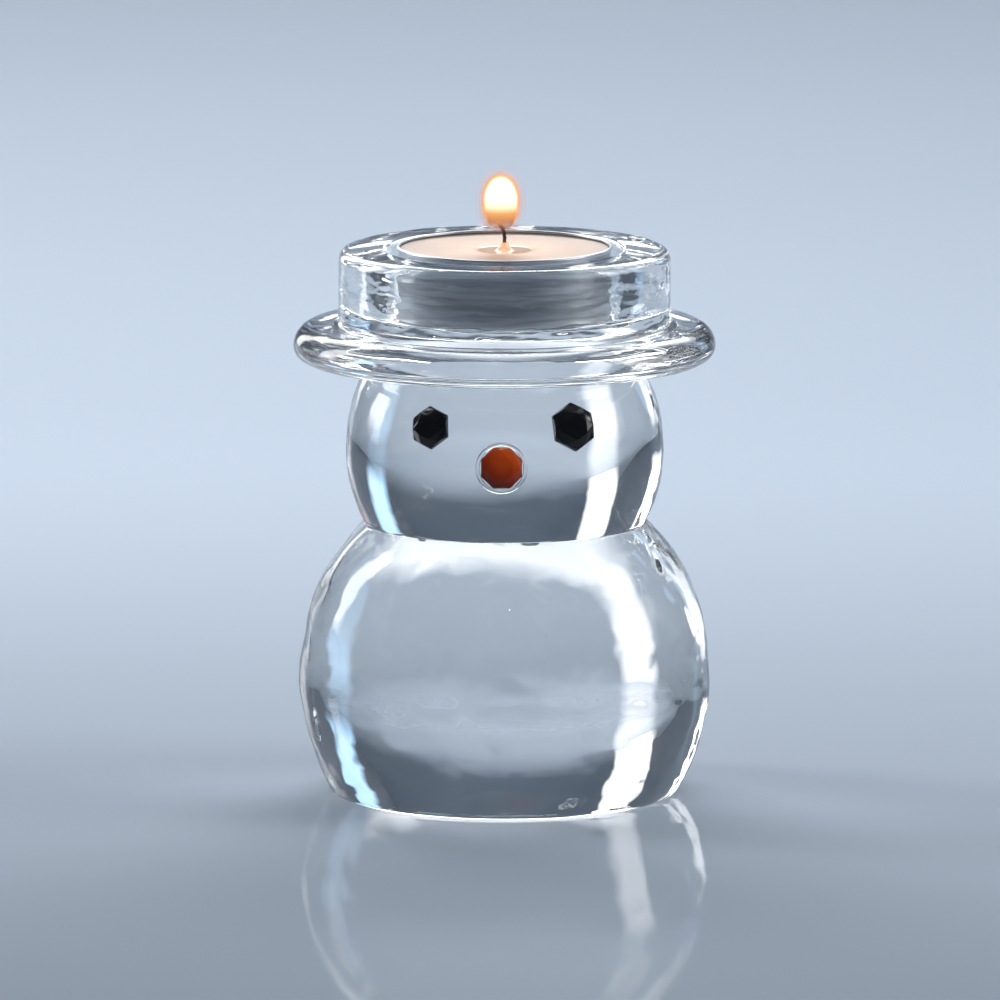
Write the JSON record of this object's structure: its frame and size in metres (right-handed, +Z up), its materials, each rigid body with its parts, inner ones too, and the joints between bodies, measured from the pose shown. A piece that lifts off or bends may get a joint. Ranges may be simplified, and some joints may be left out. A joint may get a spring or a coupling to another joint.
{
  "type": "snowman tealight holder",
  "caption": "Clear glass snowman with a brimmed hat whose hollow crown holds a tealight, with faceted stones set as eyes and nose.",
  "frame": {"origin": "centre of the foot, on the surface it stands on", "axes": "+Z up along the stack of body, head and hat; the face looks along -Y; +X to the right of someone facing it"},
  "size_m": [0.0744, 0.0744, 0.1021],
  "materials": {
    "clear_glass": "polished, water clear, slightly rippled",
    "clear_adhesive": "clear cured adhesive film",
    "black_stone": "polished black facets",
    "amber_stone": "polished clear amber-red facets, mirror backed",
    "cup_aluminium": "drawn foil, bright",
    "white_wax": "waxy, translucent",
    "tinned_steel": "tinned sheet",
    "wick_cotton": "charred braid"
  },
  "bodies": {
    "holder": {"glass_body": "clear_glass", "neck_bond": "clear_adhesive", "glass_head": "clear_glass", "hat_bond": "clear_adhesive", "glass_hat": "clear_glass", "eye_left": "black_stone", "eye_left_bond": "clear_adhesive", "eye_right": "black_stone", "eye_right_bond": "clear_adhesive", "nose": "amber_stone", "nose_bond": "clear_adhesive"},
    "tealight": {"tealight_cup": "cup_aluminium"},
    "candle": {"wax": "white_wax", "wick_sustainer": "tinned_steel", "wick": "wick_cotton"}
  },
  "joints": [
    {"name": "tealight_lift", "type": "slide", "parent": "holder", "child": "tealight", "axis": [0, 0, 1], "range_m": [0, 0.02]},
    {"name": "candle_lift", "type": "slide", "parent": "tealight", "child": "candle", "axis": [0, 0, 1], "range_m": [0, 0.02]}
  ]
}
